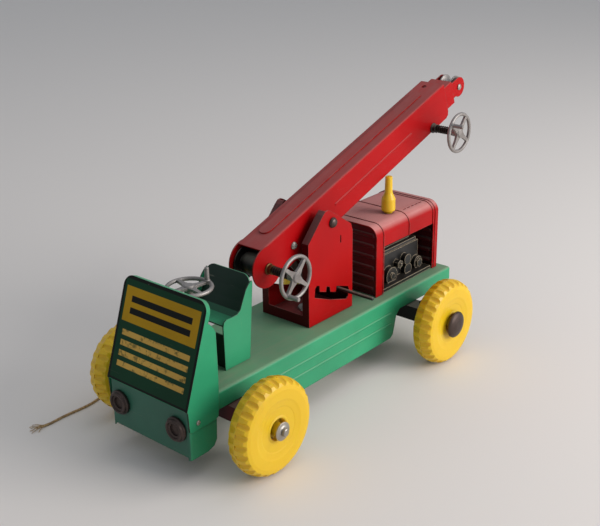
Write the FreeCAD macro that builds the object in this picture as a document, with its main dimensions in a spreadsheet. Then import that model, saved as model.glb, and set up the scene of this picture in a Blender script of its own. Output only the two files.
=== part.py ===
"""Pressed-steel toy lorry crane with a telescoping boom.

The lorry faces -Y and stands on z = 0.  Millimetres throughout.  Pieces of the boom are drawn
level, with their origin on the boom's hinge, and their Placement tilts them.
"""
import FreeCAD, Part
import math
import os
import re
import Sketcher

DIMENSIONS = [
    ("steel_gauge", 1.0),
    ("running_gap", 0.05),
    # wheels and axles
    ("wheel_radius", 38.0),
    ("wheel_half_width", 9.5),
    ("wheel_centre_out", 76.7),
    ("wheel_boss_radius", 7.6),
    ("wheel_boss_height", 2.0),
    ("lug_count", 28),
    ("lug_gap", 3.1),
    ("axle_front", -151.7),
    ("axle_back", 78.3),
    ("axle_radius", 3.0),
    ("axle_reach", 93.0),
    ("hubcap_radius", 11.8),
    ("hanger_reach", 57.0),
    ("hanger_half_length", 8.0),
    ("hanger_low", 33.0),
    ("hanger_high", 46.0),
    # truck bed
    ("bed_half_width", 42.6),
    ("bed_front", -200.2),
    ("bed_back", 141.4),
    ("bed_top", 61.5),
    ("bed_corner", 2.5),
    ("apron_low", 20.0),
    ("skirt_low_front", 17.5),
    ("skirt_low_middle", 22.5),
    ("arch_top", 47.0),
    ("arch_half_length", 20.0),
    ("rib_high", 46.6),
    ("rib_low", 36.4),
    # cab
    ("panel_half_width", 43.6),
    ("panel_foot", -201.6),
    ("panel_foot_up", 58.5),
    ("panel_height", 81.0),
    ("panel_lean", 71.25),
    ("panel_corner", 8.5),
    ("panel_rim", 4.0),
    ("lamp_radius", 9.75),
    ("lamp_out", 30.8),
    ("lamp_up", 41.0),
    ("seat_half_width", 24.2),
    ("seat_front", -142.4),
    ("seat_height", 102.8),
    ("seat_back_top", 125.5),
    ("steering_centre", -152.7),
    ("steering_up", 127.5),
    # hand wheels
    ("rim_radius", 16.9),
    ("rim_thick", 1.6),
    ("crank_out", 41.0),
    ("crank_shaft_radius", 2.0),
    ("peg_length", 12.0),
    # turret
    ("turret_axis", -17.0),
    ("turret_half_width", 25.7),
    ("turret_front", -45.9),
    ("turret_back", 11.8),
    ("turret_foot", 61.7),
    ("turret_flange", 6.0),
    ("pivot_rivet_radius", 5.95),
    # boom
    ("boom_hinge_along", -15.1),
    ("boom_hinge_up", 145.4),
    ("boom_tilt", 19.0),
    ("boom_half_width", 13.0),
    ("boom_roof", 18.2),
    ("boom_edge", -14.9),
    ("boom_mouth", 195.5),
    ("hinge_bolt_radius", 3.0),
    ("winch_along", -68.4),
    ("lobe_up", 0.7),
    ("winch_up", -1.1),
    ("cheek_radius", 17.5),
    ("link_along", -36.5),
    ("link_up", -1.0),
    ("link_pin_radius", 1.8),
    ("rack_shaft_along", 168.4),
    ("rack_shaft_up", -12.3),
    ("pinion_teeth", 6),
    ("pinion_pitch_radius", 3.0),
    # telescoping section
    ("inner_half_width", 11.4),
    ("inner_roof", 13.0),
    ("inner_floor", -9.7),
    ("inner_start", 38.0),
    ("inner_end", 209.5),
    ("inner_gauge", 0.9),
    ("tip_along", 222.0),
    ("tip_up", 0.5),
    ("tip_ear_radius", 9.2),
    ("tip_pin_radius", 2.0),
    ("pulley_radius", 9.9),
    # elevating rod, in the third notch
    ("rod_radius", 1.5),
    ("rod_along", -7.2),
    ("rod_up", 84.5),
    ("rod_handle_end", 62.0),
    # engine hood
    ("hood_half_width", 31.9),
    ("hood_front", 37.9),
    ("hood_back", 133.1),
    ("hood_top", 126.5),
    ("hood_corner", 10.0),
    ("window_front", 48.4),
    ("window_back", 125.6),
    ("window_low", 60.0),
    ("window_high", 106.4),
    ("stack_out", 15.0),
    ("stack_along", 77.4),
    ("muffler_radius", 6.2),
    ("pipe_radius", 3.5),
    ("stack_top", 160.1),
    # pull cord
    ("cord_radius", 1.0),
]

doc = FreeCAD.newDocument("toy_crane")
sheet = doc.addObject("Spreadsheet::Sheet", "Dims")
for row, (alias, number) in enumerate(DIMENSIONS, 1):
    sheet.set("A%d" % row, alias)
    sheet.set("B%d" % row, str(number))
    sheet.setAlias("B%d" % row, alias)
doc.recompute()

PIECES = []
X, Y, Z = (FreeCAD.Vector(*axis) for axis in ((1, 0, 0), (0, 1, 0), (0, 0, 1)))
# turns that lay a piece drawn along +Z down along another direction
ALONG = {"X": FreeCAD.Rotation(Y, 90), "Y": FreeCAD.Rotation(X, -90), "Z": FreeCAD.Rotation(),
         "-X": FreeCAD.Rotation(Y, -90), "-Y": FreeCAD.Rotation(X, 90)}


# ---------------------------------------------------------------- expressions on the sheet

def formula(text):
    """Point every dimension named in the text at its cell."""
    return re.sub(r"\b[a-z]+(?:_[a-z]+)+\b", lambda word: "Dims." + word.group(0), str(text))


def value(text):
    return float(sheet.evalExpression(formula(text)))


def bind(thing, **settings):
    for name, text in settings.items():
        thing.setExpression(name, formula(text))


def put(thing, place=("0", "0", "0"), turn=None):
    """Set a piece's Placement and bind its position."""
    thing.Placement = FreeCAD.Placement(FreeCAD.Vector(*(value(text) for text in place)),
                                        turn or FreeCAD.Rotation())
    for axis, text in zip("xyz", place):
        if str(text) != "0":
            thing.setExpression(".Placement.Base." + axis, formula(text))
    return thing


def tilted(thing):
    """Hang a piece drawn level on the boom's hinge, at the boom's tilt."""
    put(thing, ("0", "boom_hinge_along", "boom_hinge_up"), FreeCAD.Rotation(X, value("boom_tilt")))
    thing.setExpression(".Placement.Rotation.Angle", formula("boom_tilt"))
    return thing


def boom_spot(along, up, out="0"):
    """The resting place of a point given along and above the boom's hinge."""
    y = "boom_hinge_along + (%s) * cos(boom_tilt * 1deg) - (%s) * sin(boom_tilt * 1deg)" % (along, up)
    z = "boom_hinge_up + (%s) * sin(boom_tilt * 1deg) + (%s) * cos(boom_tilt * 1deg)" % (along, up)
    return (out, y, z)


def piece(label, thing):
    thing.Label = label
    PIECES.append(thing)
    return thing


# ---------------------------------------------------------------- shapes

def box(name, low, high):
    thing = doc.addObject("Part::Box", name)
    for side, a, b in zip(("Length", "Width", "Height"), low, high):
        bind(thing, **{side: "(%s) - (%s)" % (b, a)})
    return put(thing, low)


def rod(name, radius, start, length, along="X"):
    thing = doc.addObject("Part::Cylinder", name)
    bind(thing, Radius=radius, Height=length)
    return put(thing, start, ALONG[along])


def ball(name, radius, centre):
    thing = doc.addObject("Part::Sphere", name)
    bind(thing, Radius=radius)
    return put(thing, centre)


def hexagon(name, radius, start, length, along="X"):
    thing = doc.addObject("Part::Prism", name)
    thing.Polygon = 6
    bind(thing, Circumradius=radius, Height=length)
    return put(thing, start, ALONG[along])


def join(name, things):
    thing = doc.addObject("Part::MultiFuse", name)
    thing.Shapes = things
    thing.Refine = True
    return thing


def group(name, things):
    thing = doc.addObject("Part::Compound", name)
    thing.Links = things
    return thing


def carve(name, base, tools):
    thing = doc.addObject("Part::Cut", name)
    thing.Base = base
    thing.Tool = tools[0] if len(tools) == 1 else group(name + "_tools", tools)
    thing.Refine = True
    return thing


def rounded(name, base, radius, wanted):
    """Round the edges of base whose middle point passes the test."""
    doc.recompute()
    size = value(radius)
    edges = [number for number, edge in enumerate(base.Shape.Edges, 1)
             if wanted(edge.CenterOfMass)]
    thing = doc.addObject("Part::Fillet", name)
    thing.Base = base
    thing.Edges = [(number, size, size) for number in edges]
    return thing


def outline(body, role, points, name, offset=None):
    """A closed sketch of straight lines, each corner bound to two expressions."""
    sketch = body.newObject("Sketcher::SketchObject", name)
    plane = next(f for f in body.Origin.OriginFeatures if f.Role == role)
    sketch.AttachmentSupport = [(plane, "")]
    sketch.MapMode = "FlatFace"
    if offset is not None:
        sketch.AttachmentOffset = offset
    spots = [FreeCAD.Vector(value(a), value(b), 0) for a, b in points]
    count = len(spots)
    for index, spot in enumerate(spots):
        sketch.addGeometry(Part.LineSegment(spot, spots[(index + 1) % count]), False)
    for index in range(count):
        sketch.addConstraint(Sketcher.Constraint("Coincident", index, 2, (index + 1) % count, 1))
    for index, point in enumerate(points):
        for kind, text, size in zip(("DistanceX", "DistanceY"), point, spots[index]):
            number = sketch.addConstraint(Sketcher.Constraint(kind, -1, 1, index, 1, size))
            sketch.setExpression("Constraints[%d]" % number, formula(text))
    return sketch


def plate(name, role, points, thickness):
    """A flat outline thickened equally to both sides of its plane."""
    body = doc.addObject("PartDesign::Body", name)
    pad = body.newObject("PartDesign::Pad", name + "_pad")
    pad.Profile = outline(body, role, points, name + "_outline")
    pad.SideType = "Symmetric"
    bind(pad, Length=thickness)
    return body


def turned(name, points):
    """A piece turned about its own Z axis from (radius, height) points."""
    body = doc.addObject("PartDesign::Body", name)
    sketch = outline(body, "XZ_Plane", points, name + "_section")
    turn = body.newObject("PartDesign::Revolution", name + "_turn")
    turn.Profile = sketch
    turn.ReferenceAxis = (sketch, ["V_Axis"])
    turn.Angle = 360
    return body


# ---------------------------------------------------------------- truck

def chassis():
    """The bed, folded down into an apron, a tail and two side skirts."""
    def pan(name, inset):
        w, g = "bed_half_width - %s" % inset, inset
        low = ("-(%s)" % w, "bed_front + %s" % g, "skirt_low_front - 1")
        high = (w, "bed_back - %s" % g, "bed_top - %s" % g)
        block = box(name + "_block", low, high)
        floor = value("skirt_low_front")
        return rounded(name, block, "bed_corner - %s" % g, lambda middle: middle.z > floor)

    below = plate("skirt_cutter", "YZ_Plane", [
        ("bed_front - 5", "skirt_low_front - 3"),
        ("bed_front - 5", "skirt_low_front"),
        ("axle_front - arch_half_length - 10.5", "skirt_low_front"),
        ("axle_front - arch_half_length - 4", "skirt_low_front + 2"),
        ("axle_front - arch_half_length - 1", "skirt_low_front + 6.5"),
        ("axle_front - arch_half_length", "arch_top - 3"),
        ("axle_front - arch_half_length + 3", "arch_top"),
        ("axle_front + arch_half_length - 3", "arch_top"),
        ("axle_front + arch_half_length", "arch_top - 3"),
        ("axle_front + arch_half_length + 1.5", "skirt_low_middle + 4"),
        ("axle_front + arch_half_length + 4.5", "skirt_low_middle"),
        ("axle_back - arch_half_length - 13", "skirt_low_middle"),
        ("axle_back - arch_half_length - 9", "skirt_low_middle + 2.5"),
        ("axle_back - arch_half_length - 7.5", "skirt_low_middle + 7"),
        ("axle_back - arch_half_length - 4", "arch_top - 4.5"),
        ("axle_back - arch_half_length + 1", "arch_top"),
        ("bed_back + 5", "arch_top - 1"),
        ("bed_back + 5", "skirt_low_front - 3")], "3 * bed_half_width")
    apron_cut = box("apron_cutter", ("-bed_half_width + 2", "bed_front - 1", "skirt_low_front - 3"),
                    ("bed_half_width - 2", "bed_front + 3", "apron_low"))
    rivet_hole = rod("bed_rivet_hole", "pivot_rivet_radius", ("0", "turret_axis", "bed_top - 5"),
                     "10", "Z")
    shell = carve("bed_shell", pan("bed_outer", "0"),
                  [pan("bed_inner", "steel_gauge"), below, apron_cut, rivet_hole])
    ribs = []
    for side in (-1, 1):
        for level, height in enumerate(("rib_high", "rib_low")):
            name = "skirt_rib_%s_%d" % ("left" if side > 0 else "right", level)
            out = "%d * (bed_half_width - 0.9)" % side
            start, end = "axle_front + arch_half_length + 14", "axle_back - arch_half_length - 13"
            ribs.append(rod(name, "1.5", (out, start, height), "(%s) - (%s)" % (end, start), "Y"))
            ribs.append(ball(name + "_nose", "1.5", (out, start, height)))
            ribs.append(ball(name + "_tail", "1.5", (out, end, height)))
    piece("chassis", join("chassis_pressing", [shell] + ribs))


def front_panel():
    """The leaning plate, with a turned-back rim and a wing down each side of the skirt."""
    def sheet_block(name, inset, base, back, front):
        wide = "(panel_half_width - %s)" % inset
        block = box(name + "_block", ("-" + wide, base, back),
                    (wide, "panel_height - %s" % inset, front))
        top, side = value("panel_height - %s" % inset), value(wide)
        return rounded(name, block, "panel_corner - %s" % inset,
                       lambda middle: abs(middle.y - top) < 0.01 and abs(abs(middle.x) - side) < 0.01)

    outer = sheet_block("panel_outer", "0", "0", "-panel_rim", "0")
    inner = sheet_block("panel_inner", "steel_gauge", "-1", "-panel_rim - 1", "-steel_gauge")
    face = put(carve("panel_face", outer, [inner]), ("0", "panel_foot", "panel_foot_up"),
               FreeCAD.Rotation(X, value("panel_lean")))
    face.setExpression(".Placement.Rotation.Angle", formula("panel_lean"))
    wings = []
    for side in (-1, 1):
        wing = plate("panel_wing_%s" % ("left" if side > 0 else "right"), "YZ_Plane", [
            ("panel_foot + 0.8", "panel_foot_up"),
            ("panel_foot + 1.6", "panel_foot_up - 16.5"),
            ("panel_foot + 3.6", "panel_foot_up - 18"),
            ("panel_foot + 27.5", "panel_foot_up - 17.6"),
            ("panel_foot + 30.6", "panel_foot_up - 16"),
            ("panel_foot + 32", "panel_foot_up - 2.5"),
            ("panel_foot + 32.4", "panel_foot_up + 14"),
            ("panel_foot + 31.8", "panel_foot_up + 52"),
            ("panel_foot + 30.4", "panel_foot_up + 55"),
            ("panel_foot + 26.4", "panel_foot_up + 60"),
            ("panel_foot + 22.4", "panel_foot_up + 62")], "steel_gauge - 0.1")
        wings.append(put(wing, ("%d * (panel_half_width - steel_gauge / 2 + 0.05)" % side, "0", "0")))
    piece("front_panel", join("front_panel_pressing", [face] + wings))
    heads = []
    for side in (-1, 1):
        start = ("%d * (panel_half_width + 0.55)" % side if side > 0 else "-panel_half_width - 0.55",
                 "bed_front + 8.7", "panel_foot_up - 12")
        name = "panel_rivet_%s" % ("left" if side > 0 else "right")
        head = turned(name, [("0", "-0.55"), ("2", "-0.55"), ("1.8", "0.1"), ("1", "0.5"), ("0", "0.6")])
        heads.append(put(head, start, ALONG["X" if side > 0 else "-X"]))
    piece("panel_rivets", group("panel_rivet_pair", heads))


def headlight(label, side):
    """A stepped, hollow lamp pressed against the apron."""
    lamp = turned(label + "_turning", [
        ("0", "0"), ("lamp_radius - 1.2", "0"), ("lamp_radius", "0.8"), ("lamp_radius", "2.2"),
        ("lamp_radius - 0.9", "2.8"), ("lamp_radius - 1.3", "4.2"), ("lamp_radius - 2.2", "4.7"),
        ("lamp_radius - 3.2", "4.5"), ("lamp_radius - 3.7", "3.4"), ("lamp_radius - 5", "3.1"),
        ("lamp_radius - 5.4", "1.7"), ("0", "1.3")])
    piece(label, put(lamp, ("%d * lamp_out" % side, "bed_front", "lamp_up"), ALONG["-Y"]))


def seat():
    """A bent bucket between two side cheeks, standing on a riser."""
    cheeks = []
    for side in (-1, 1):
        cheek = plate("seat_cheek_%s" % ("left" if side > 0 else "right"), "YZ_Plane", [
            ("seat_front", "bed_top"),
            ("seat_front - 0.6", "seat_height - 5"),
            ("seat_front + 0.3", "seat_height - 1.5"),
            ("seat_front + 2.8", "seat_height + 0.2"),
            ("seat_front + 9.5", "seat_height"),
            ("seat_front + 14.5", "seat_height + 0.3"),
            ("seat_front + 18", "seat_height + 2.5"),
            ("seat_front + 21.3", "seat_height + 9.5"),
            ("seat_front + 24.8", "seat_height + 17"),
            ("seat_front + 28.2", "seat_height + 20.6"),
            ("seat_front + 31.5", "seat_back_top"),
            ("seat_front + 32.3", "seat_back_top - 1.4"),
            ("seat_front + 27.3", "bed_top")], "steel_gauge")
        cheeks.append(put(cheek, ("%d * (seat_half_width - steel_gauge / 2)" % side, "0", "0")))
    bucket = plate("seat_bucket", "YZ_Plane", [
        ("seat_front - 0.4", "seat_height - 3.6"),
        ("seat_front + 10", "seat_height - 5"),
        ("seat_front + 16.5", "seat_height - 4.4"),
        ("seat_front + 21", "seat_height - 1"),
        ("seat_front + 24.5", "seat_height + 6"),
        ("seat_front + 28", "seat_height + 14.5"),
        ("seat_front + 31.9", "seat_back_top + 3.6"),
        ("seat_front + 32.9", "seat_back_top + 3.4"),
        ("seat_front + 29", "seat_height + 14"),
        ("seat_front + 25.4", "seat_height + 5.5"),
        ("seat_front + 21.8", "seat_height - 1.8"),
        ("seat_front + 16.9", "seat_height - 5.4"),
        ("seat_front + 10", "seat_height - 6"),
        ("seat_front - 0.4", "seat_height - 4.6")], "2 * (seat_half_width - steel_gauge)")
    doc.recompute()
    crown, middle = value("seat_back_top + 3.5"), value("seat_half_width - steel_gauge")
    bucket = rounded("seat_bucket_crown", bucket, "8", lambda spot: abs(spot.z - crown) < 0.2
                     and abs(abs(spot.x) - middle) < 0.1)
    riser = box("seat_riser", ("-seat_half_width + steel_gauge", "seat_front + 3", "bed_top"),
                ("seat_half_width - steel_gauge", "seat_front + 4", "seat_height - 14"))
    piece("seat", join("seat_pressing", cheeks + [bucket, riser]))


def hand_wheel(label, place, turn):
    """A die-cast wheel: round rim, four tapering spokes, a hub and a turning peg."""
    spokes = []
    for quarter in range(4):
        c, s = round(math.cos(quarter * math.pi / 2)), round(math.sin(quarter * math.pi / 2))
        for out, half in (("3.2", "3.2"), ("8", "1.8"), ("rim_radius - 0.6", "1.3"),
                          ("rim_radius - 0.6", "-1.3"), ("8", "-1.8")):
            spokes.append(("%d * (%s) + %d * (%s)" % (c, out, s, half),
                           "%d * (%s) - %d * (%s)" % (s, out, c, half)))
    cross = plate(label + "_spokes", "XY_Plane", spokes[::-1], "2.2")
    rim = doc.addObject("Part::Torus", label + "_rim")
    bind(rim, Radius1="rim_radius", Radius2="rim_thick")
    hub = turned(label + "_hub", [("0", "-6"), ("3.8", "-6"), ("4.2", "-1"), ("4.2", "1.4"),
                                  ("3.4", "2.2"), ("0", "2.2")])
    peg = turned(label + "_peg", [("0", "-1"), ("2.4", "-1"), ("2.4", "1.6"), ("1.9", "2.4"),
                                  ("1.7", "peg_length - 0.5"), ("1.3", "peg_length"), ("0", "peg_length")])
    put(peg, ("rim_radius - 1", "0", "0"))
    bore = rod(label + "_bore", "crank_shaft_radius + running_gap", ("0", "0", "-7"), "8", "Z")
    wheel = carve(label + "_casting", join(label + "_blank", [cross, rim, hub, peg]), [bore])
    piece(label, put(wheel, place, turn))


def facing_out(phase):
    """Turn a hand wheel to face +X with its peg at this angle up from +Y."""
    return ALONG["X"] * FreeCAD.Rotation(Z, phase + 90)


def steering():
    piece("steering_column", rod("steering_shaft", "crank_shaft_radius",
                                 ("0", "steering_centre", "bed_top"), "steering_up + 0.8 - bed_top", "Z"))
    hand_wheel("steering_wheel", ("0", "steering_centre", "steering_up"), FreeCAD.Rotation(Z, 78))


def axle_hanger(label, axle):
    """A channel across the truck with an end plate on each side that carries the axle."""
    w, low, high = "hanger_reach", "hanger_low", "hanger_high"
    front, back = "%s - hanger_half_length" % axle, "%s + hanger_half_length" % axle
    beam = box(label + "_beam", ("-" + w, front, low), (w, back, high))
    hollow = box(label + "_hollow", ("-%s + 1.2" % w, front + " + steel_gauge", "hanger_low - 1"),
                 ("%s - 1.2" % w, back + " - steel_gauge", "hanger_high - steel_gauge"))
    riser = box(label + "_riser", ("-30", front, "hanger_high - steel_gauge"),
                ("30", back, "bed_top - steel_gauge"))
    riser_hollow = box(label + "_riser_hollow", ("-31", front + " + steel_gauge", "hanger_high"),
                       ("31", back + " - steel_gauge", "bed_top - 2 * steel_gauge"))
    horns = [box("%s_horn_%d" % (label, n), (x, front, low), (x + " + 1.2", back, "hanger_high + 8"))
             for n, x in enumerate(("-hanger_reach", "hanger_reach - 1.2"))]
    bore = rod(label + "_bore", "axle_radius + 0.02", ("-axle_reach", axle, "wheel_radius"),
               "2 * axle_reach")
    body = join(label + "_blank", [carve(label + "_channel", beam, [hollow]),
                                   carve(label + "_stand", riser, [riser_hollow])] + horns)
    piece(label, carve(label + "_pressing", body, [bore]))


def road_wheel(label, axle, side):
    """A moulded wheel with shallow lugs staggered round both shoulders."""
    h, r, w = "wheel_half_width", "wheel_radius", "wheel_boss_radius"
    bore = "axle_radius + running_gap"
    body = turned(label + "_moulding", [
        (bore, "-%s - 0.6" % h), (w, "-%s - 0.6" % h), (w, "-%s + 2" % h), ("18", "-%s + 2" % h),
        ("22", "-%s + 0.4" % h), ("31", "-%s" % h), ("34", "-%s + 0.5" % h),
        ("%s - 1.8" % r, "-%s + 2.2" % h), ("%s - 0.8" % r, "-4.8"), (r, "-0.9"), (r, "0.9"),
        ("%s - 0.8" % r, "4.8"), ("%s - 1.8" % r, "%s - 2.2" % h), ("34", "%s - 0.5" % h),
        ("31", h), ("24", "%s - 0.1" % h), ("22", "%s - 0.5" % h), ("18.5", "%s - 0.9" % h),
        ("17.5", "%s - 1.2" % h), (w + " + 3.4", "%s - 1.4" % h), (w + " + 2", "%s - 0.9" % h),
        (w + " + 1", "%s - 1.3" % h), (w + " + 0.5", "%s - 2.6" % h), (w + " + 0.3", "%s - 6" % h),
        ("5", "%s - 6" % h), ("5", "%s + wheel_boss_height" % h), (bore, "%s + wheel_boss_height" % h)])
    turning = body.Tip
    half_pitch = 180 / value("lug_count")
    for face, swing in ((1, 0), (-1, half_pitch)):
        tag = "%s_%s" % (label, "outer" if face > 0 else "inner")
        cut = body.newObject("PartDesign::SubtractiveCylinder", tag + "_gap")
        bind(cut, Radius="lug_gap", Height="wheel_half_width + 3")
        lean = FreeCAD.Rotation(Y, -21) if face > 0 else FreeCAD.Rotation(Y, 201)
        start = FreeCAD.Rotation(Z, swing).multVec(FreeCAD.Vector(value(r + " + lug_gap - 1"), 0, face * 1.4))
        cut.Placement = FreeCAD.Placement(start, FreeCAD.Rotation(Z, swing) * lean)
        doc.recompute()
        around = body.newObject("PartDesign::PolarPattern", tag + "_gaps")
        around.Originals = [cut]
        around.Axis = (turning.Profile[0], ["V_Axis"])
        around.Angle = 360
        bind(around, Occurrences="lug_count")
        body.Tip = around
        doc.recompute()
    piece(label, put(body, ("%d * wheel_centre_out" % side, axle, "wheel_radius"),
                     ALONG["X" if side > 0 else "-X"]))


def axle_caps(label, axle, side):
    """A domed press-on hubcap with a socket for the axle."""
    inside = "wheel_centre_out + wheel_half_width + wheel_boss_height + 0.4"
    depth = "axle_reach - (%s)" % inside
    cap = turned(label + "_dome", [
        ("axle_radius + 0.01", "0"), ("hubcap_radius", "0"), ("hubcap_radius", "1.2"),
        ("hubcap_radius - 0.8", "2.2"), ("hubcap_radius - 3", "3.3"), ("hubcap_radius - 6", "(%s) - 0.3" % depth),
        ("hubcap_radius - 8", depth), ("0", depth), ("0", "axle_reach - 2 - (%s)" % inside),
        ("axle_radius + 0.01", "axle_reach - 2 - (%s)" % inside)])
    piece(label, put(cap, ("%d * (%s)" % (side, inside), axle, "wheel_radius"),
                     ALONG["X" if side > 0 else "-X"]))


def running_gear():
    axle_hanger("front_axle_hanger", "axle_front")
    axle_hanger("rear_axle_hanger", "axle_back")
    reach = "axle_reach - 2.05"
    bare = turned("front_axle_turning", [
        ("0", "-(%s)" % reach), ("axle_radius", "-(%s)" % reach), ("axle_radius", "axle_reach - 3.4"),
        ("axle_radius - 0.2", "axle_reach - 3.3"), ("axle_radius - 0.2", "axle_reach - 2.6"),
        ("axle_radius", "axle_reach - 2.5"), ("axle_radius", "axle_reach - 0.4"),
        ("axle_radius - 0.5", "axle_reach"), ("0", "axle_reach")])
    piece("front_axle", put(bare, ("0", "axle_front", "wheel_radius"), ALONG["X"]))
    piece("rear_axle", rod("rear_axle_bar", "axle_radius", ("-(%s)" % reach, "axle_back", "wheel_radius"),
                           "2 * (%s)" % reach))
    for label, axle, side in (("front_left", "axle_front", 1), ("front_right", "axle_front", -1),
                              ("rear_left", "axle_back", 1), ("rear_right", "axle_back", -1)):
        road_wheel("wheel_" + label, axle, side)
        if label != "front_left":
            axle_caps("hubcap_" + label, axle, side)
    nut = turned("push_nut_pressing", [("axle_radius + 0.01", "0"), ("7.2", "0"), ("7.2", "0.9"),
                                       ("5", "1.3"), ("axle_radius + 0.8", "1.8"),
                                       ("axle_radius + 0.01", "1.9")])
    piece("push_nut", put(nut, ("wheel_centre_out + wheel_half_width + wheel_boss_height + 0.3",
                                "axle_front", "wheel_radius"), ALONG["X"]))


# ---------------------------------------------------------------- hood and engine

def hood():
    """A tunnel of sheet steel with a window each side and raised seams over the top."""
    def tunnel(name, grow, front, back, low):
        wide = "(hood_half_width + %s)" % grow
        block = box(name + "_block", ("-" + wide, front, low), (wide, back, "hood_top + %s" % grow))
        top = value("hood_top + %s" % grow)
        side = value(wide)
        return rounded(name, block, "hood_corner + %s" % grow, lambda middle:
                       abs(middle.z - top) < 0.01 and abs(abs(middle.x) - side) < 0.01)

    skin = [tunnel("hood_skin", "0", "hood_front", "hood_back", "bed_top")]
    seams = ("hood_front + 9.6", "hood_front + 48", "hood_back - 9.4", "hood_back - 5.6")
    for number, along in enumerate(seams):
        skin.append(tunnel("hood_seam_%d" % number, "0.6", along, along + " + 1.4", "bed_top + 1"))
    hollow = tunnel("hood_hollow", "(-steel_gauge)", "hood_front - 1", "hood_back + 1", "bed_top - 1")
    window = box("hood_windows", ("-2 * hood_half_width", "window_front", "window_low"),
                 ("2 * hood_half_width", "window_back", "window_high"))
    slots = [box("hood_slot_%d" % n, ("20.6", "hood_front + %g" % (54 + 6 * n), "hood_top - 3"),
                 ("21.6", "hood_front + %g" % (58 + 6 * n), "hood_top + 3")) for n in range(5)]
    hole = rod("hood_stack_hole", "3", ("stack_out", "stack_along", "hood_top - 5"), "10", "Z")
    piece("hood", carve("hood_pressing", join("hood_blank", skin), [hollow, window, hole] + slots))


def grille(label, along, ribs_forward):
    """A plate just inside one end of the hood, with louvre ribs across it."""
    wide, top = "(hood_half_width - steel_gauge - 0.05)", "(hood_top - steel_gauge - 0.05)"
    block = box(label + "_block", ("-" + wide, along, "bed_top + 0.05"),
                (wide, "%s + steel_gauge" % along, top))
    edge, side = value(top), value(wide)
    face = rounded(label + "_face", block, "hood_corner - steel_gauge", lambda middle:
                   abs(middle.z - edge) < 0.01 and abs(abs(middle.x) - side) < 0.01)
    start = "%s + (%s)" % (along, "1.2" if ribs_forward else "-0.2")
    ribs = []
    for n in range(6):
        up = "bed_top + %g" % (6 + 10 * n)
        ribs.append(rod("%s_rib_%d" % (label, n), "2.4", ("-hood_half_width + 6", start, up),
                        "2 * hood_half_width - 12"))
        ribs += [ball("%s_rib_end_%d_%d" % (label, n, side), "2.4", ("%d * (hood_half_width - 6)" % side, start, up))
                 for side in (-1, 1)]
    piece(label, join(label + "_pressing", [face] + ribs))


def engine():
    """A block on a base strip, with the flywheel, pump and plugs standing out on both sides."""
    block = box("engine_casting", ("-20", "window_front + 3", "bed_top + 1.6"),
                ("20", "window_front + 70", "window_high - 16"))
    ledge = box("engine_ledge", ("-22.5", "window_front + 2", "window_high - 13.5"),
                ("22.5", "window_front + 62.5", "window_high - 10.5"))
    head = box("engine_head", ("-18", "window_front + 6", "window_high - 16.5"),
               ("18", "window_front + 58", "window_high + 5"))
    base = box("engine_base", ("-hood_half_width + 1.3", "window_front - 4", "bed_top + 0.05"),
               ("hood_half_width - 1.3", "window_back - 1", "bed_top + 3.2"))
    lugs = []
    for side in ("X", "-X"):
        sign, tag = (1, "left") if side == "X" else (-1, "right")
        for name, shape, radius, along, up, length in (
                ("flywheel", rod, "8", 22.9, 8.4, "7"), ("flywheel_hub", rod, "3", 22.9, 8.4, "8.5"),
                ("plug", hexagon, "4", 35, 15.8, "7.5"), ("plug_tip", rod, "1.5", 35, 15.8, "9"),
                ("cylinder", rod, "5", 47.4, 16.8, "7"), ("sump", rod, "5.5", 48.9, 6.8, "6.5"),
                ("pump", rod, "6", 65.6, 8.1, "6"), ("pump_nut", hexagon, "4.2", 65.6, 8.1, "8")):
            lugs.append(shape("engine_%s_%s" % (name, tag), radius,
                              ("%d * 18" % sign, "window_front + %g" % along, "bed_top + %g" % up),
                              length, side))
    piece("engine_block", join("engine_moulding", [block, ledge, head, base] + lugs))


def exhaust():
    stack = turned("exhaust_turning", [
        ("0", "-4"), ("2.95", "-4"), ("2.95", "0.05"), ("muffler_radius - 2.4", "0.05"),
        ("muffler_radius - 2", "1.6"), ("muffler_radius - 0.5", "2.2"), ("muffler_radius", "3"),
        ("muffler_radius", "13"), ("muffler_radius - 0.5", "14.4"), ("pipe_radius + 1.2", "16.4"),
        ("pipe_radius + 0.2", "18.4"), ("pipe_radius", "20"),
        ("pipe_radius - 0.3", "stack_top - hood_top - 0.6"), ("pipe_radius - 0.9", "stack_top - hood_top"),
        ("0", "stack_top - hood_top")])
    piece("exhaust_stack", put(stack, ("stack_out", "stack_along", "hood_top")))


# ---------------------------------------------------------------- turret

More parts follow.
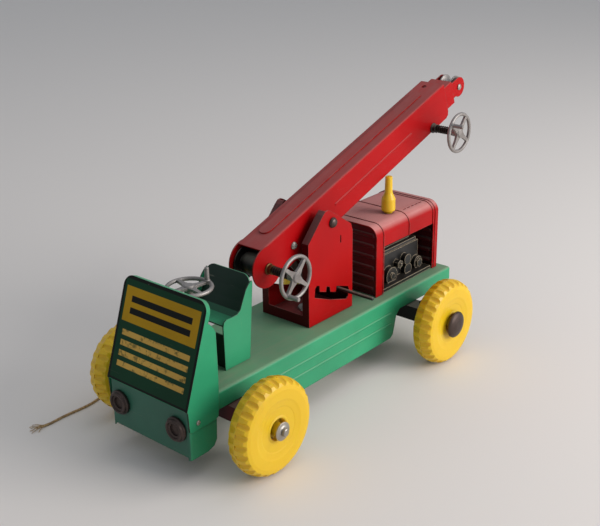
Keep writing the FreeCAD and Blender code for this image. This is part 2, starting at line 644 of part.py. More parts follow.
def turret():
    """Two cheeks folded up from a floor, flanged along the front, with a notched slot."""
    front, back, foot = "turret_front", "turret_back", "turret_foot"

    def profile(inset, low):
        n = inset
        return [("%s + %s" % (front, n), low), ("%s + 9 * %s" % (back, n), low),
                ("%s + 9 * %s" % (back, n), "%s + 69.5 + 8 * %s" % (foot, n)),
                ("%s - 2 + 9 * %s" % (back, n), "%s + 76 + 8 * %s" % (foot, n)),
                ("%s + 21.7 + 9 * %s" % (front, n) if n != "0" else "%s - 29.4" % back,
                 "%s + 94.2 + 8 * %s" % (foot, n)),
                ("%s + 25 + %s" % (front, n), "%s + 95.6 + 3 * %s" % (foot, n)),
                ("%s + 21.7 + %s" % (front, n), "%s + 95.3 + 0.2 * %s" % (foot, n)),
                ("%s + 18.7 + %s" % (front, n), "%s + 92.8 - 0.2 * %s" % (foot, n)),
                ("%s + %s" % (front, n), "%s + 73 - 0.4 * %s" % (foot, n))]

    outer = plate("turret_outer", "YZ_Plane", profile("0", foot), "2 * turret_half_width")
    inner = plate("turret_inner", "YZ_Plane", profile("steel_gauge", foot + " + steel_gauge"),
                  "2 * (turret_half_width - steel_gauge)")
    mouth = box("turret_mouth", ("-turret_half_width + steel_gauge + turret_flange", front + " - 5",
                                 foot + " + 9"),
                ("turret_half_width - steel_gauge - turret_flange", front + " + 40", foot + " + 110"))
    slot = plate("notched_slot", "YZ_Plane", [
        ("turret_front + 7.4", "turret_foot + 24.6"), ("turret_front + 8.2", "turret_foot + 32.6"),
        ("turret_front + 10.4", "turret_foot + 34.3"), ("turret_front + 13.6", "turret_foot + 33.2"),
        ("turret_front + 14", "turret_foot + 27.8"), ("turret_front + 22.2", "turret_foot + 25"),
        ("turret_front + 23", "turret_foot + 29.6"), ("turret_front + 27", "turret_foot + 28.2"),
        ("turret_front + 28", "turret_foot + 23"), ("turret_front + 35.3", "turret_foot + 20.6"),
        ("turret_front + 36.1", "turret_foot + 25.7"), ("turret_front + 51.6", "turret_foot + 20.4"),
        ("turret_front + 53", "turret_foot + 17"), ("turret_front + 51.8", "turret_foot + 11.2"),
        ("turret_front + 49.4", "turret_foot + 9.3"), ("turret_front + 27.3", "turret_foot + 16.3")],
        "3 * turret_half_width")
    tab_slit = box("turret_slit", ("-2 * turret_half_width", "turret_back - 16.6", "turret_foot + 63"),
                   ("2 * turret_half_width", "turret_back - 15.4", "turret_foot + 69.5"))
    holes = [rod("turret_hinge_hole", "hinge_bolt_radius + 0.02",
                 ("-2 * turret_half_width", "boom_hinge_along", "boom_hinge_up"), "4 * turret_half_width"),
             rod("turret_rivet_hole", "pivot_rivet_radius + running_gap",
                 ("0", "turret_axis", foot + " - 5"), "10", "Z")]
    shell = carve("turret_pressing", outer, [inner, mouth, slot, tab_slit] + holes)
    wall = box("turret_rear_wall", ("-turret_half_width + 0.5", "turret_back - steel_gauge", foot + " + 0.5"),
               ("turret_half_width - 0.5", "turret_back", foot + " + 62"))
    piece("turret", join("turret_folded", [shell, wall]))

    rivet = turned("turret_rivet_turning", [
        ("3.4", "bed_top - steel_gauge - 1.4"), ("8.5", "bed_top - steel_gauge - 1.4"),
        ("8.5", "bed_top - steel_gauge - 0.02"), ("pivot_rivet_radius - 0.03", "bed_top - steel_gauge - 0.02"),
        ("pivot_rivet_radius - 0.03", "turret_foot + steel_gauge + 0.2"),
        ("9", "turret_foot + steel_gauge + 0.2"), ("8.2", "turret_foot + steel_gauge + 1.5"),
        ("4.6", "turret_foot + steel_gauge + 1.9"), ("3.4", "turret_foot + steel_gauge + 1.2")])
    piece("turret_rivet", put(rivet, ("0", "turret_axis", "0")))

    reach = "turret_half_width + 0.05"
    bolt = turned("hinge_bolt_turning", [
        ("0", "-turret_half_width - 4"), ("hinge_bolt_radius", "-turret_half_width - 4"),
        ("hinge_bolt_radius", reach), ("4.4", reach), ("4.4", reach + " + 0.9"), ("3.5", reach + " + 2.3"),
        ("2", reach + " + 3.1"), ("0", reach + " + 3.4")])
    piece("boom_hinge_bolt", put(bolt, ("0", "boom_hinge_along", "boom_hinge_up"), ALONG["X"]))
    nut_blank = hexagon("hinge_nut_blank", "5", ("-turret_half_width - 3.2", "boom_hinge_along", "boom_hinge_up"),
                        "3.1")
    nut_bore = rod("hinge_nut_bore", "hinge_bolt_radius + 0.01",
                   ("-turret_half_width - 5", "boom_hinge_along", "boom_hinge_up"), "6")
    piece("boom_hinge_nut", carve("hinge_nut", nut_blank, [nut_bore]))
    spacers = []
    gap = "turret_half_width - steel_gauge - boom_half_width"
    for side in (-1, 1):
        tube = turned("hinge_spacer_%s_tube" % ("left" if side > 0 else "right"),
                      [("hinge_bolt_radius + 0.02", "0.25"), ("5", "0.25"), ("5", gap + " - 0.05"),
                       ("hinge_bolt_radius + 0.02", gap + " - 0.05")])
        spacers.append(put(tube, ("%d * boom_half_width" % side, "boom_hinge_along", "boom_hinge_up"),
                           ALONG["X" if side > 0 else "-X"]))
    piece("hinge_spacers", group("hinge_spacer_pair", spacers))


# ---------------------------------------------------------------- boom

def boom_outer():
    """An inverted channel with a round lobe each side of the winch and an embossed roof."""
    wide, roof, edge, mouth = "boom_half_width", "boom_roof", "boom_edge", "boom_mouth"
    beam_block = box("boom_block", ("-" + wide, "winch_along", edge), (wide, mouth, roof))
    top, side = value(roof), value(wide)
    long_edges = rounded("boom_beam", beam_block, "1.6", lambda middle:
                         abs(middle.z - top) < 0.01 and abs(abs(middle.x) - side) < 0.01)
    lobe = rod("boom_lobe", "cheek_radius", ("-" + wide, "winch_along", "lobe_up"), "2 * " + wide)
    emboss = box("boom_emboss", ("-7", "winch_along + 16", roof + " - 1"),
                 ("4", "boom_mouth - 22", roof + " + 1.3"))
    crown = value(roof + " + 1.3")
    emboss_round = rounded("boom_emboss_ends", emboss, "5.2", lambda middle:
                           abs(abs(middle.x + 1.5) - 5.5) < 0.01 and abs(middle.z - crown + 1.15) < 0.02)
    beads = []
    for hand in (-1, 1):
        tag = "left" if hand > 0 else "right"
        out = "%d * (boom_half_width - 0.55)" % hand
        beads.append(rod("boom_bead_" + tag, "1.3", (out, "21.5", "0.7"), "114", "Y"))
        beads.append(ball("boom_bead_nose_" + tag, "1.3", (out, "21.5", "0.7")))
        beads.append(ball("boom_bead_tail_" + tag, "1.3", (out, "135.5", "0.7")))
    solid = join("boom_blank", [long_edges, lobe, emboss_round] + beads)
    g = "steel_gauge"
    hollow = box("boom_hollow", ("-%s + %s" % (wide, g), "winch_along - cheek_radius - 2", edge + " - 5"),
                 ("%s - %s" % (wide, g), mouth + " + 5", "%s - %s" % (roof, g)))
    open_front = box("boom_open_front", ("-%s + %s" % (wide, g), "winch_along - cheek_radius - 2", edge),
                     ("%s - %s" % (wide, g), "winch_along - 1.5", roof + " + 2"))
    corner = plate("boom_lower_corner", "YZ_Plane", [
        (mouth + " - 4.5", edge + " - 1"), (mouth + " - 4.5", edge), (mouth + " - 1.4", edge + " + 1.6"),
        (mouth, edge + " + 5"), (mouth + " + 2", edge + " + 5"), (mouth + " + 2", edge + " - 1")],
        "4 * " + wide)
    holes = [rod("boom_hinge_hole", "hinge_bolt_radius + running_gap", ("-2 * " + wide, "0", "0"), "4 * " + wide),
             rod("boom_winch_hole", "crank_shaft_radius + running_gap",
                 ("-2 * " + wide, "winch_along", "winch_up"), "4 * " + wide),
             rod("boom_rack_hole", "crank_shaft_radius + running_gap",
                 ("-2 * " + wide, "rack_shaft_along", "rack_shaft_up"), "4 * " + wide),
             rod("boom_link_hole", "link_pin_radius + 0.01", ("-2 * " + wide, "link_along", "link_up"),
                 "4 * " + wide),
             rod("boom_roof_hole", "2.2", ("-3.4", "boom_mouth - 8.5", roof + " - 4"), "8", "Z")]
    piece("boom_outer", tilted(carve("boom_pressing", solid, [hollow, open_front, corner] + holes)))
    rest = "inner_floor - 0.3 - 1.5"
    piece("boom_guide_pin", tilted(group("guide_pin_group", [
        rod("guide_pin", "1.5", ("-%s + %s" % (wide, g), "120", rest), "2 * (%s - %s)" % (wide, g))])))
    pin = turned("link_pin_turning", [
        ("0", "-boom_half_width - 1.6"), ("2.6", "-boom_half_width - 1.6"), ("3.2", "-boom_half_width - 0.8"),
        ("3.2", "-boom_half_width - 0.02"), ("link_pin_radius", "-boom_half_width - 0.02"),
        ("link_pin_radius", "boom_half_width + 0.02"), ("3.2", "boom_half_width + 0.02"),
        ("3.2", "boom_half_width + 0.9"), ("2.4", "boom_half_width + 1.9"), ("0", "boom_half_width + 2.3")])
    put(pin, ("0", "link_along", "link_up"), ALONG["X"])
    nick = box("link_pin_slot", ("boom_half_width + 1.2", "link_along - 4", "link_up - 0.45"),
               ("boom_half_width + 3", "link_along + 4", "link_up + 0.45"))
    piece("link_pin", tilted(carve("link_pin_cut", pin, [nick])))


def crank(label, along, up, phase, far_end):
    """A cross shaft through the boom with bushes, a friction spring and a hand wheel."""
    wide = "boom_half_width"
    shaft = rod(label + "_shaft_bar", "crank_shaft_radius", (far_end, along, up), "crank_out - (%s)" % far_end)
    piece(label + "_shaft", tilted(group(label + "_shaft_group", [shaft])))
    bushes = []
    for hand, depth in ((1, "4.5"), (-1, "1.2")):
        tube = turned("%s_bush_%s_tube" % (label, "left" if hand > 0 else "right"), [
            ("crank_shaft_radius + running_gap", "0.02"), ("4.6", "0.02"), ("4.6", "1"), ("3.9", "1.4"),
            ("3.9", depth), ("crank_shaft_radius + running_gap", depth)] if hand > 0 else [
            ("crank_shaft_radius + running_gap", "0.02"), ("4.6", "0.02"), ("4.2", depth),
            ("crank_shaft_radius + running_gap", depth)])
        bushes.append(put(tube, ("%d * boom_half_width" % hand, along, up), ALONG["X" if hand > 0 else "-X"]))
    piece(label + "_bushes", tilted(group(label + "_bush_pair", bushes)))
    coil = doc.addObject("Part::Helix", label + "_coil_line")
    coil.Pitch, coil.Height, coil.Radius = 2.2, 15.4, 2.9
    wire = doc.addObject("Part::Circle", label + "_coil_wire")
    wire.Radius = 0.6
    wire.Placement = FreeCAD.Placement(FreeCAD.Vector(3.0, 0, 0), FreeCAD.Rotation(X, 90))
    sweep = doc.addObject("Part::Sweep", label + "_coil")
    sweep.Sections, sweep.Spine, sweep.Solid, sweep.Frenet = [wire], (coil, []), True, True
    put(sweep, (wide + " + 5.2", along, up), ALONG["X"])
    piece(label + "_spring", tilted(group(label + "_spring_group", [sweep])))
    hand_wheel(label + "_hand_wheel", boom_spot(along, up, "crank_out"), facing_out(phase))


def winch():
    crank("winch", "winch_along", "winch_up", 230, "-boom_half_width - 2.5")
    reel = turned("winch_reel", [
        ("crank_shaft_radius + 0.01", "-11.4"), ("14.5", "-11.4"), ("14.5", "-10.4"), ("8.5", "-10"),
        ("9.5", "-6"), ("9.8", "0"), ("9.5", "6"), ("8.5", "10"), ("14.5", "10.4"), ("14.5", "11.4"),
        ("crank_shaft_radius + 0.01", "11.4")])
    put(reel, ("0", "winch_along", "winch_up"), ALONG["X"])
    piece("winch_drum", tilted(group("winch_drum_group", [reel])))


def rack_drive():
    """The upper crank, whose pinion climbs a row of slots in the inner section's floor."""
    crank("telescope", "rack_shaft_along", "rack_shaft_up", 144, "-boom_half_width - 2.5")
    teeth, pitch = int(value("pinion_teeth")), "pinion_pitch_radius"
    corners = []
    for tooth in range(teeth):
        middle = 2 * math.pi * tooth / teeth
        for radius, half in (("%s - 0.6" % pitch, -0.32), ("%s + 0.1" % pitch, -0.19), ("%s + 1.1" % pitch, -0.08),
                             ("%s + 1.1" % pitch, 0.08), ("%s + 0.1" % pitch, 0.19), ("%s - 0.6" % pitch, 0.32)):
            angle = middle + half
            corners.append(("(%s) * %.5f" % (radius, math.sin(angle)), "(%s) * %.5f" % (radius, math.cos(angle))))
    gear = plate("pinion_teeth_blank", "YZ_Plane", corners, "4.4")
    put(gear, ("0", "rack_shaft_along", "rack_shaft_up"))
    bore = rod("pinion_bore", "crank_shaft_radius + 0.01", ("-4", "rack_shaft_along", "rack_shaft_up"), "8")
    piece("telescope_pinion", tilted(carve("pinion", gear, [bore])))


def boom_inner():
    """The sliding box section, slotted underneath as a rack, and the fork at its tip."""
    wide, g = "inner_half_width", "inner_gauge"
    block = box("inner_block", ("-" + wide, "inner_start", "inner_floor"), (wide, "inner_end", "inner_roof"))
    side = value(wide)
    skin = rounded("inner_skin", block, "1.2", lambda middle: abs(abs(middle.x) - side) < 0.01
                   and value("inner_start") + 5 < middle.y < value("inner_end") - 5)
    hollow = box("inner_hollow", ("-%s + %s" % (wide, g), "inner_start - 2", "inner_floor + " + g),
                 ("%s - %s" % (wide, g), "inner_end + 2", "inner_roof - " + g))
    pitch = "(2 * 3.14159265 * pinion_pitch_radius / pinion_teeth)"
    slots = [box("rack_slot_%d" % n,
                 ("-2.8", "rack_shaft_along - %d * %s - 1.1" % (n, pitch), "inner_floor - 2"),
                 ("2.8", "rack_shaft_along - %d * %s + 1.1" % (n, pitch), "inner_floor + 2"))
             for n in range(-1, 33)]
    piece("boom_inner", tilted(carve("inner_pressing", skin, [hollow] + slots)))

    out, ear = "(inner_half_width - inner_gauge - 0.6)", "tip_ear_radius"
    ears = []
    for hand in (-1, 1):
        tag = "left" if hand > 0 else "right"
        low_x = "%s - 1" % out if hand > 0 else "-" + out
        high_x = out if hand > 0 else "-%s + 1" % out
        ears.append(rod("fork_ear_" + tag, ear, (low_x, "tip_along", "tip_up"), "1"))
        ears.append(box("fork_cheek_" + tag, (low_x, "inner_end - 14", "tip_up - 6.2"),
                        (high_x, "tip_along - 2", "tip_up + " + ear)))
    web = box("fork_web", ("-" + out, "inner_end - 15", "tip_up - 6.2"), (out, "inner_end - 14", "tip_up + " + ear))
    hole = rod("fork_hole", "tip_pin_radius + 0.01", ("-15", "tip_along", "tip_up"), "30")
    piece("tip_fork", tilted(carve("tip_fork_pressing", join("fork_blank", ears + [web]), [hole])))
    pin = turned("tip_pin_turning", [
        ("0", "-%s - 1.4" % out), ("2.8", "-%s - 1.4" % out), ("2.8", "-%s - 0.02" % out),
        ("tip_pin_radius", "-%s - 0.02" % out), ("tip_pin_radius", "%s + 0.02" % out), ("2.8", "%s + 0.02" % out),
        ("2.8", "%s + 0.8" % out), ("1.8", "%s + 1.5" % out), ("0", "%s + 1.6" % out)])
    put(pin, ("0", "tip_along", "tip_up"), ALONG["X"])
    piece("tip_pin", tilted(group("tip_pin_group", [pin])))
    wheel = turned("tip_pulley_turning", [
        ("tip_pin_radius + running_gap", "-6"), ("pulley_radius", "-6"), ("pulley_radius", "-5"), ("6", "-3"),
        ("5", "-1.4"), ("5", "1.4"), ("6", "3"), ("pulley_radius", "5"), ("pulley_radius", "6"),
        ("tip_pin_radius + running_gap", "6")])
    put(wheel, ("0", "tip_along", "tip_up"), ALONG["X"])
    piece("tip_pulley", tilted(group("tip_pulley_group", [wheel])))


def elevating_gear():
    """The strap that hangs from the boom's cross pin and the rod that sits in the notches."""
    _, pin_y, pin_z = boom_spot("link_along", "link_up")
    top = (value(pin_y), value(pin_z))
    foot = (value("rod_along"), value("rod_up"))
    lean = math.degrees(math.atan2(foot[0] - top[0], top[1] - foot[1]))
    span = "sqrt((rod_along - (%s)) * (rod_along - (%s)) + (rod_up - (%s)) * (rod_up - (%s)))" % (
        pin_y, pin_y, pin_z, pin_z)
    arms = []
    for hand in (-1, 1):
        tag = "left" if hand > 0 else "right"
        low_x, high_x = ("10", "11") if hand > 0 else ("-11", "-10")
        arms.append(box("strap_arm_" + tag, (low_x, "-3.5", "-(%s)" % span), (high_x, "3.5", "0")))
        for end, height in (("top", "0"), ("foot", "-(%s)" % span)):
            arms.append(rod("strap_%s_%s" % (end, tag), "3.5", (low_x, "0", height), "1"))
    web = box("strap_web", ("-11", "2.5", "-(%s) - 1.5" % span), ("11", "3.5", "-(%s) + 4" % span))
    holes = [rod("strap_pin_hole", "link_pin_radius + running_gap", ("-15", "0", "0"), "30"),
             rod("strap_rod_hole", "rod_radius + 0.01", ("-15", "0", "-(%s)" % span), "30")]
    strap = carve("strap_pressing", join("strap_blank", arms + [web]), holes)
    piece("elevating_strap", put(strap, ("0", pin_y, pin_z), FreeCAD.Rotation(X, lean)))
    bar = turned("elevating_rod_bar", [
        ("0", "-turret_half_width - 5"), ("rod_radius", "-turret_half_width - 5"),
        ("rod_radius", "rod_handle_end - 0.6"), ("rod_radius - 0.5", "rod_handle_end"), ("0", "rod_handle_end")])
    piece("elevating_rod", put(bar, ("0", "rod_along", "rod_up"), ALONG["X"]))


# ---------------------------------------------------------------- pull cord

# The cord is tied round the front axle, drops to the floor behind the far front wheel, passes
# under the wheel's rear overhang and lies forward beside it.
CORD_ROUTE = [
    (-61.6, -147.4, 38.4), (-61.6, -146.6, 31.0), (-61.8, -143.4, 20.0), (-62.6, -137.4, 9.0),
    (-66.6, -130.0, 2.6), (-77.0, -127.2, 1.05), (-89.0, -128.6, 1.05), (-99.4, -134.4, 1.05),
    (-105.6, -144.4, 1.05), (-107.4, -156.4, 1.05), (-105.8, -167.6, 1.05), (-104.0, -177.0, 1.05),
    (-104.5, -188.0, 1.05), (-105.5, -200.5, 1.05), (-105.0, -212.0, 1.05), (-105.0, -219.5, 1.05),
    (-107.5, -227.5, 1.05)]


def rounded_path(route):
    """Straight runs joined by tangent arcs, each as large as its two runs allow."""
    points = [FreeCAD.Vector(*point) for point in route]
    edges, radii, start = [], [], points[0]
    for before, corner, after in zip(points, points[1:], points[2:]):
        into, away = (corner - before), (after - corner)
        turn = into.getAngle(away)
        reach = 0.45 * min(into.Length, away.Length)
        radii.append(reach / math.tan(turn / 2))
        into.normalize()
        away.normalize()
        enter, leave = corner - into * reach, corner + away * reach
        bisector = (away - into).normalize()
        centre = corner + bisector * (radii[-1] / math.cos(turn / 2))
        middle = centre - bisector * radii[-1]
        edges.append(Part.LineSegment(start, enter).toShape())
        edges.append(Part.Arc(enter, middle, leave).toShape())
        start = leave
    edges.append(Part.LineSegment(start, points[-1]).toShape())
    return Part.Wire(edges), radii


def pull_cord():
    radius = value("cord_radius")
    path, radii = rounded_path(CORD_ROUTE)
    first, second = FreeCAD.Vector(*CORD_ROUTE[0]), FreeCAD.Vector(*CORD_ROUTE[1])
    section = Part.Wire(Part.makeCircle(radius, first, second - first))
    tube = path.makePipeShell([section], True, False, 2)
    cord = doc.addObject("Part::Feature", "pull_cord_tube")
    cord.Shape = tube
    piece("pull_cord", cord)
    expected = math.pi * radius ** 2 * path.Length
    print("cord length %.1f mm, volume ratio %.4f, tightest bend %.1f mm"
          % (path.Length, tube.Volume / expected, min(radii)))
    print("cord bend radii", [round(radius, 1) for radius in radii])
    knot = doc.addObject("Part::Torus", "cord_knot_loop")
    bind(knot, Radius1="axle_radius + cord_radius + 0.05", Radius2="cord_radius")
    put(knot, ("-61.6", "axle_front", "wheel_radius"), ALONG["X"])
    hitch = ball("cord_knot_hitch", "2.1", ("-61.6", "axle_front + 5.6", "wheel_radius + 1.5"))
    piece("cord_knot", join("cord_knot_tied", [knot, hitch]))


# ---------------------------------------------------------------- build and export

def main():
    chassis()
    front_panel()
    headlight("headlight_left", 1)
    headlight("headlight_right", -1)
    seat()
    steering()
    running_gear()
    hood()
    grille("hood_grille", "hood_front + 2.2", True)
    grille("hood_tail_plate", "hood_back - 3.2", False)
    engine()
    exhaust()
    turret()
    boom_outer()
    winch()
    rack_drive()
    boom_inner()
    elevating_gear()
    pull_cord()
    doc.recompute()

    for thing in doc.Objects:
        if "Invalid" in thing.State or "Error" in thing.State:
            raise RuntimeError("%s failed: %s" % (thing.Name, thing.State))
    os.makedirs("parts", exist_ok=True)
    for thing in PIECES:
        shape = thing.Shape
        if shape.isNull() or not shape.isValid() or not shape.Solids:
            raise RuntimeError("%s has no valid solid" % thing.Label)
        shape.exportStep("parts/%s.step" % thing.Label)
    print("%d pieces" % len(PIECES))


main()
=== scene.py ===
"""Looks for the pressed-steel toy crane lorry: finishes, twine, floor, light and camera.

Everything is in metres, in the lorry's own frame: it faces -Y and stands on z = 0.
"""
import math
import random

import bpy
from mathutils import Matrix, Vector


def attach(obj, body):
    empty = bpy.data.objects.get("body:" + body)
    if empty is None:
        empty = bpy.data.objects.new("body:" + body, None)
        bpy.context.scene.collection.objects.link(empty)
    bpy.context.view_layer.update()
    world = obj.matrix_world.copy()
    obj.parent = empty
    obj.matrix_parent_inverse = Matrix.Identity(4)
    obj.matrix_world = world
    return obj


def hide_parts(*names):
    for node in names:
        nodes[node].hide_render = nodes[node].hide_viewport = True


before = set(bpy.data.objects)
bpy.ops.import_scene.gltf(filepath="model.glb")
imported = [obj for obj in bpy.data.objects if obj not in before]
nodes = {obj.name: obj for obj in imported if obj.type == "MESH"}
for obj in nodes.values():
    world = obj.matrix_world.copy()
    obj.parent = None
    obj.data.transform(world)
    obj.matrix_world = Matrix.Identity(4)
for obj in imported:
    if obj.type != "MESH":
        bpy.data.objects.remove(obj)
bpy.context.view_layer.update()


# ---------------------------------------------------------------- camera

def view_axes(azimuth, elevation, roll):
    """The right, up and backward directions of a view from an azimuth and elevation, then rolled."""
    az, el, tilt = (math.radians(angle) for angle in (azimuth, elevation, roll))
    back = Vector((math.sin(az) * math.cos(el), -math.cos(az) * math.cos(el), math.sin(el)))
    level = Vector((math.cos(az), math.sin(az), 0))
    upright = back.cross(level)
    right = level * math.cos(tilt) + upright * math.sin(tilt)
    up = upright * math.cos(tilt) - level * math.sin(tilt)
    return right, up, back


def aim_camera(spot, axes, lens):
    """Puts the camera at spot, looking against the last of its three axes."""
    right, up, back = axes
    data = bpy.data.cameras.new("camera")
    data.lens = lens
    data.sensor_width = 36
    camera = bpy.data.objects.new("camera", data)
    bpy.context.scene.collection.objects.link(camera)
    turn = Matrix((right, up, back)).transposed().to_4x4()
    camera.matrix_world = Matrix.Translation(spot) @ turn
    bpy.context.scene.camera = camera


aim_camera(Vector((0.515295, -0.624935, 0.426219)), view_axes(40.729, 22.011, -0.821), 61.22)


# ---------------------------------------------------------------- shader writing

class Level:
    """A shader socket that takes part in arithmetic."""

    def __init__(self, finish, socket):
        self.finish = finish
        self.socket = socket

    def _work(self, operation, *values):
        return self.finish.node("ShaderNodeMath", {"operation": operation}, dict(enumerate(values)))

    def __add__(self, other):
        return self._work("ADD", self, other)

    __radd__ = __add__

    def __sub__(self, other):
        return self._work("SUBTRACT", self, other)

    def __rsub__(self, other):
        return self._work("SUBTRACT", other, self)

    def __mul__(self, other):
        return self._work("MULTIPLY", self, other)

    __rmul__ = __mul__

    def __mod__(self, other):
        return self._work("FLOORED_MODULO", self, other)

    def __abs__(self):
        return self._work("ABSOLUTE", self)


class Finish:
    """A material under construction."""

    def __init__(self, name):
        self.material = bpy.data.materials.new(name)
        self.material.use_nodes = True
        self.tree = self.material.node_tree
        self.surface = self.tree.nodes["Principled BSDF"]
        self.place = self.node("ShaderNodeTexCoord", {}, {}, "Object")
        self.facing = self.node("ShaderNodeTexCoord", {}, {}, "Normal")

    def node(self, kind, settings, sockets, output=0):
        """Adds a node, its settings first, then its sockets' values and links."""
        made = self.tree.nodes.new(kind)
        for name, value in settings.items():
            setattr(made, name, value)
        for name, value in sockets.items():
            if isinstance(value, Level):
                self.tree.links.new(value.socket, made.inputs[name])
            else:
                made.inputs[name].default_value = value
        return Level(self, made.outputs[output])

    def axes(self, vector):
        split = self.node("ShaderNodeSeparateXYZ", {}, {0: vector})
        outputs = split.socket.node.outputs
        return [Level(self, outputs[name]) for name in ("X", "Y", "Z")]

    def noise(self, scale, detail=3.0, stretch=None, rough=0.5):
        place = self.place
        if stretch:
            place = self.node("ShaderNodeMapping", {}, {"Vector": place, "Scale": stretch})
        return self.node("ShaderNodeTexNoise", {}, {"Vector": place, "Scale": scale, "Detail": detail,
                                                   "Roughness": rough}, "Fac")

    def rise(self, value, low, high, kind="SMOOTHSTEP"):
        """0 below low, 1 above high, and smooth between."""
        return self.node("ShaderNodeMapRange", {"interpolation_type": kind},
                         {0: value, 1: low, 2: high})

    def band(self, value, centre, half, soft):
        """1 within half of centre, fading to 0 over soft."""
        return 1 - self.rise(abs(value - centre), half, half + soft)

    def blend(self, under, over, share, mode="MIX"):
        return self.node("ShaderNodeMix", {"data_type": "RGBA", "blend_type": mode},
                         {0: share, 6: under, 7: over}, 2)

    def edges(self, radius):
        """1 where the surface turns sharply within radius, 0 on the flat."""
        rounded = self.node("ShaderNodeBevel", {"samples": 6}, {"Radius": radius})
        plain = self.node("ShaderNodeNewGeometry", {}, {}, "Normal")
        same = self.node("ShaderNodeVectorMath", {"operation": "DOT_PRODUCT"}, {0: rounded, 1: plain},
                         "Value")
        return self.rise(1 - same, 0.02, 0.28, "LINEAR")

    def hollows(self, reach):
        """1 deep in corners, 0 in the open."""
        open_air = self.node("ShaderNodeAmbientOcclusion", {"samples": 6}, {"Distance": reach}, "AO")
        return 1 - open_air

    def close(self, bump=None, strength=0.2, distance=0.0004, soften=0.0, **sockets):
        """Links the surface's sockets, with an optional relief and softened edges."""
        sockets = {name.replace("_", " ").title().replace("Ior", "IOR"): value
                   for name, value in sockets.items()}
        if soften:
            sockets["Normal"] = self.node("ShaderNodeBevel", {"samples": 6}, {"Radius": soften})
        if bump is not None:
            relief = {"Height": bump, "Strength": strength, "Distance": distance}
            if soften:
                relief["Normal"] = sockets["Normal"]
            sockets["Normal"] = self.node("ShaderNodeBump", {}, relief)
        for name, value in sockets.items():
            if isinstance(value, Level):
                self.tree.links.new(value.socket, self.surface.inputs[name])
            else:
                self.surface.inputs[name].default_value = value
        return self.material


def shade(red, green, blue):
    """A screen colour, 0 to 255, as the linear light a shader works in."""
    def linear(level):
        level /= 255
        return level / 12.92 if level <= 0.04045 else ((level + 0.055) / 1.055) ** 2.4
    return (linear(red), linear(green), linear(blue), 1)


def scaled(colour, share):
    return (colour[0] * share, colour[1] * share, colour[2] * share, 1)


# ---------------------------------------------------------------- enamel on sheet steel

DUST = shade(150, 143, 128)
PRIMER = shade(58, 46, 40)
BARE = shade(120, 112, 104)
GREEN = shade(52, 158, 112)


def wear(finish, paint, dust=0.5, chips=0.5, scratches=0.5, grime_and_shade=0.4, shadow=0.6, dust_colour=None):
    """Old enamel over any paint colour: faded patches, dust on top, grime with painted shade in tight
    corners, painted shade deep in wide hollows, chipped edges, scratches. A top colour darker than the paint,
    as on the seat, paints shade on upward faces.
    """
    cloud = finish.noise(14, 4)
    mottle = finish.noise(90, 4, rough=0.65)
    grit = finish.noise(700, 2)
    up = finish.axes(finish.facing)[2]
    colour = finish.blend(paint, finish.blend(paint, (0.8, 0.8, 0.8, 1), 1.0, "MULTIPLY"),
                          finish.rise(cloud, 0.35, 0.7))
    streaks = finish.noise(9, 4, (38.0, 1.0, 3.0), 0.6)
    # Dust settles on upward faces; where the top colour is darker than the paint, as on the seat, this is
    # painted shade on the upward faces.
    settled_dust_and_shade = finish.rise(up, 0.25, 0.95) * dust * (0.2 + 0.6 * mottle + 0.9 * streaks)
    colour = finish.blend(colour, dust_colour or DUST, settled_dust_and_shade)
    # Grime and painted shade: tight corners are darkened towards dark primer by occlusion, and roughened.
    corner_grime_and_shade = finish.rise(finish.hollows(0.006), 0.25, 0.8) * grime_and_shade * (0.5 + mottle)
    colour = finish.blend(colour, scaled(PRIMER, 0.4), corner_grime_and_shade)
    # Painted shade: deep in wide hollows, such as inside the turret and the seat, the colour is blended to
    # near black.
    colour = finish.blend(colour, scaled(PRIMER, 0.1), finish.rise(finish.hollows(0.06), 0.45, 0.95) * shadow)
    edge = finish.edges(0.0009)
    worn = finish.rise(edge * 0.75 + mottle * 0.7 + grit * 0.25, 1.12 - 0.34 * chips, 1.22 - 0.34 * chips)
    speck = finish.rise(grit * 0.5 + mottle * 0.55, 0.745 - 0.03 * chips, 0.765 - 0.03 * chips)
    bare = finish.rise(mottle, 0.4, 0.62)
    metal = finish.blend(PRIMER, BARE, bare)
    long_marks = finish.noise(26, 3, (1.0, 1.0, 26.0), 0.6)
    cross_marks = finish.noise(30, 3, (1.0, 34.0, 2.0), 0.6)
    scuff = (finish.rise(long_marks, 0.705, 0.73) + finish.rise(cross_marks, 0.70, 0.725)) * scratches
    scuff = finish.rise(scuff, 0.0, 1.0, "LINEAR")
    colour = finish.blend(colour, finish.blend(colour, DUST, 0.45), scuff)
    colour = finish.blend(colour, metal, finish.rise(worn + speck, 0.0, 1.0, "LINEAR"))
    rough = 0.34 + settled_dust_and_shade * 0.55 + mottle * 0.12 + corner_grime_and_shade * 0.3 + worn * 0.15
    relief = mottle * 0.4 + grit * 0.12 - worn * 0.9 - speck * 0.7
    return colour, rough, relief


def enamel(name, paint, gloss=0.0, shine=0.3, forward_shade=None, **habits):
    """Enamel, with painted shade: a darker colour on faces turned forward, where a forward colour is given.
    """
    finish = Finish(name)
    if forward_shade:
        # Painted shade: faces turned forward (-Y) are blended towards the darker forward colour.
        forward_shade_mask = finish.rise(finish.axes(finish.facing)[1] * -1, 0.35, 0.75)
        paint = finish.blend(paint, forward_shade, forward_shade_mask)
    colour, rough, relief = wear(finish, paint, **habits)
    return finish.close(base_color=colour, roughness=rough - gloss, bump=relief, strength=0.25,
                        distance=0.00015, soften=0.0006, coat_weight=0.04, coat_roughness=0.15,
                        specular_ior_level=shine)


PLATE_LEAN = math.radians(18.75)
PLATE_FOOT_Y, PLATE_FOOT_Z = -0.2016, 0.0585

# The printed panel, in millimetres on the plate.
PANEL_HALF_WIDTH = 41.0
PANEL_TOP = 78.0
RIM_EDGE = 0.6
PRINT_EDGE = 0.35


